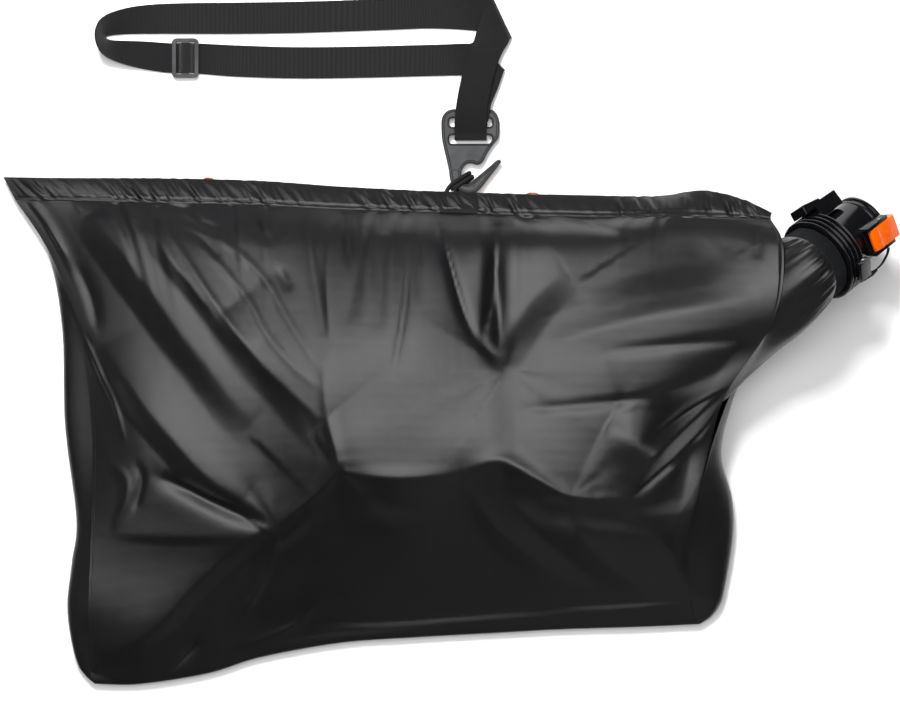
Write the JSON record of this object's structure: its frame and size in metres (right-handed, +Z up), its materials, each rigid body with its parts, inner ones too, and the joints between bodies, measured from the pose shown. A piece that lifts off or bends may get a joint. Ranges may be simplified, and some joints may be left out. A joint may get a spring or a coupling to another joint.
{
  "type": "blower vacuum collection bag",
  "caption": "Sewn nylon collection bag with a zipped edge, a latching connector pipe in its fabric neck, and a webbing shoulder strap on a hook.",
  "frame": {"origin": "middle of the bounding box in plan, on the floor that the bag lies on", "axes": "+X along the bag towards its neck and connector, +Y across the bag towards the zip and the strap, +Z up from the floor"},
  "size_m": [0.9912, 0.7712, 0.1186],
  "materials": {
    "nylon": "coated woven nylon, satin",
    "webbing": "woven webbing, matt",
    "elastic": "ribbed elastic, matt",
    "black_plastic": "moulded, glossy",
    "grey_plastic": "moulded, satin",
    "orange_plastic": "moulded, glossy",
    "steel": "plain"
  },
  "bodies": {
    "bag": {"front_panel": "nylon", "back_panel": "nylon", "hem_band": "nylon", "cord_patch": "webbing", "neck_sleeve": "nylon", "elastic_cuff": "elastic", "zip_tape": "nylon", "zip_coil": "orange_plastic", "zip_stop_open": "steel", "zip_stop_closed": "steel", "connector_pipe": "black_plastic", "clamp_ring": "black_plastic", "clamp_boss": "black_plastic", "clamp_screw": "steel", "side_catch": "black_plastic", "latch_housing": "black_plastic", "latch_pin": "steel", "latch_spring": "steel", "tether_strap": "elastic", "tether_tab": "elastic", "shoulder_strap": "webbing", "strap_glide": "grey_plastic", "carrying_hook": "grey_plastic", "cord_loop": "webbing"},
    "slider": {"zip_slider": "steel"},
    "pull": {"zip_pull": "orange_plastic"},
    "lever": {"latch_lever": "orange_plastic"}
  },
  "joints": [
    {"name": "zip_slide", "type": "slide", "parent": "bag", "child": "slider", "axis": [-0.9994, 0.0358, 0], "range_m": [0, 0.59]},
    {"name": "pull_swing", "type": "hinge", "parent": "slider", "child": "pull", "pos_m": [0.19764, 0.1528, 0.0145], "axis": [0, 0, -1], "range_deg": [0, 150]},
    {"name": "lever_press", "type": "hinge", "parent": "bag", "child": "lever", "pos_m": [0.47568, 0.1154, 0.07273], "axis": [0.3774, -0.855, -0.3557], "range_deg": [0, 8], "stiffness_Nm_per_rad": 0.17, "springref_deg": -6.88, "deforming": ["latch_spring"]}
  ]
}
